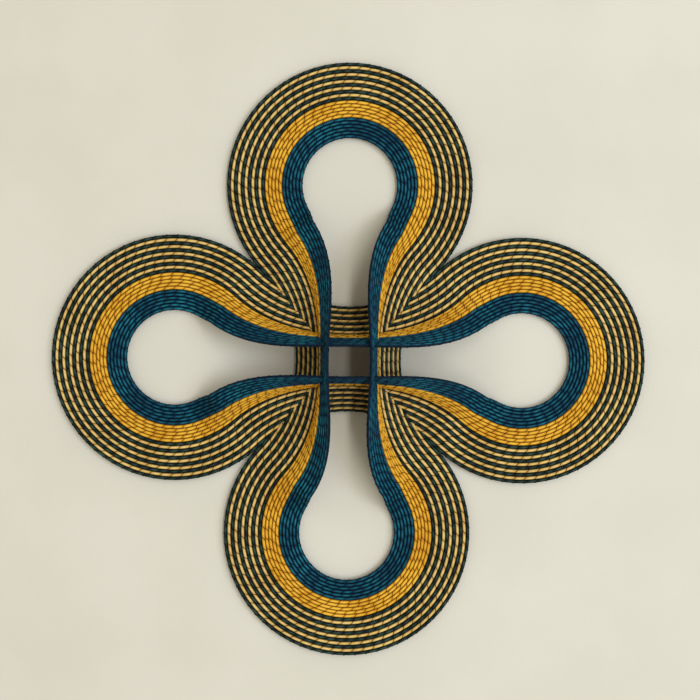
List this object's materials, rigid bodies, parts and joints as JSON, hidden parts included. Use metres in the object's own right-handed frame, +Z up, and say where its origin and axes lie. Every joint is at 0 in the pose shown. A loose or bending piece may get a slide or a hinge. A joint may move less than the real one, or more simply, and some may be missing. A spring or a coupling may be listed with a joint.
{
  "type": "looped cord wall relief",
  "caption": "Wall relief of looped round cords: an upright and a crosswise striped band cross in the middle and end in flat round lobes.",
  "frame": {"origin": "middle of the relief, in the plane of the wall that its back touches", "axes": "+Z up as it hangs, +X to the right seen from the front, the front looks toward -Y"},
  "size_m": [0.5186, 0.0583, 0.5186],
  "materials": {
    "cord_teal": "satin wound cord",
    "cord_cream": "satin wound cord",
    "cord_yellow": "satin wound cord",
    "cord_blue": "satin wound cord"
  },
  "bodies": {
    "root": {"upright_loop_01_teal": "cord_teal", "upright_loop_02_cream": "cord_cream", "upright_loop_03_teal": "cord_teal", "upright_loop_04_cream": "cord_cream", "upright_loop_05_teal": "cord_teal", "upright_loop_06_cream": "cord_cream", "upright_loop_07_teal": "cord_teal", "upright_loop_08_cream": "cord_cream", "upright_loop_09_teal": "cord_teal", "upright_loop_10_cream": "cord_cream", "upright_loop_11_teal": "cord_teal", "upright_loop_12_yellow": "cord_yellow", "upright_loop_13_yellow": "cord_yellow", "upright_loop_14_yellow": "cord_yellow", "upright_loop_15_yellow": "cord_yellow", "upright_loop_16_yellow": "cord_yellow", "upright_loop_17_blue": "cord_blue", "upright_loop_18_blue": "cord_blue", "upright_loop_19_blue": "cord_blue", "upright_loop_20_blue": "cord_blue", "upright_loop_21_blue": "cord_blue", "upright_loop_22_blue": "cord_blue", "crosswise_loop_01_teal": "cord_teal", "crosswise_loop_02_cream": "cord_cream", "crosswise_loop_03_teal": "cord_teal", "crosswise_loop_04_cream": "cord_cream", "crosswise_loop_05_teal": "cord_teal", "crosswise_loop_06_cream": "cord_cream", "crosswise_loop_07_teal": "cord_teal", "crosswise_loop_08_cream": "cord_cream", "crosswise_loop_09_teal": "cord_teal", "crosswise_loop_10_cream": "cord_cream", "crosswise_loop_11_teal": "cord_teal", "crosswise_loop_12_yellow": "cord_yellow", "crosswise_loop_13_yellow": "cord_yellow", "crosswise_loop_14_yellow": "cord_yellow", "crosswise_loop_15_yellow": "cord_yellow", "crosswise_loop_16_yellow": "cord_yellow", "crosswise_loop_17_blue": "cord_blue", "crosswise_loop_18_blue": "cord_blue", "crosswise_loop_19_blue": "cord_blue", "crosswise_loop_20_blue": "cord_blue", "crosswise_loop_21_blue": "cord_blue", "crosswise_loop_22_blue": "cord_blue"}
  },
  "joints": []
}
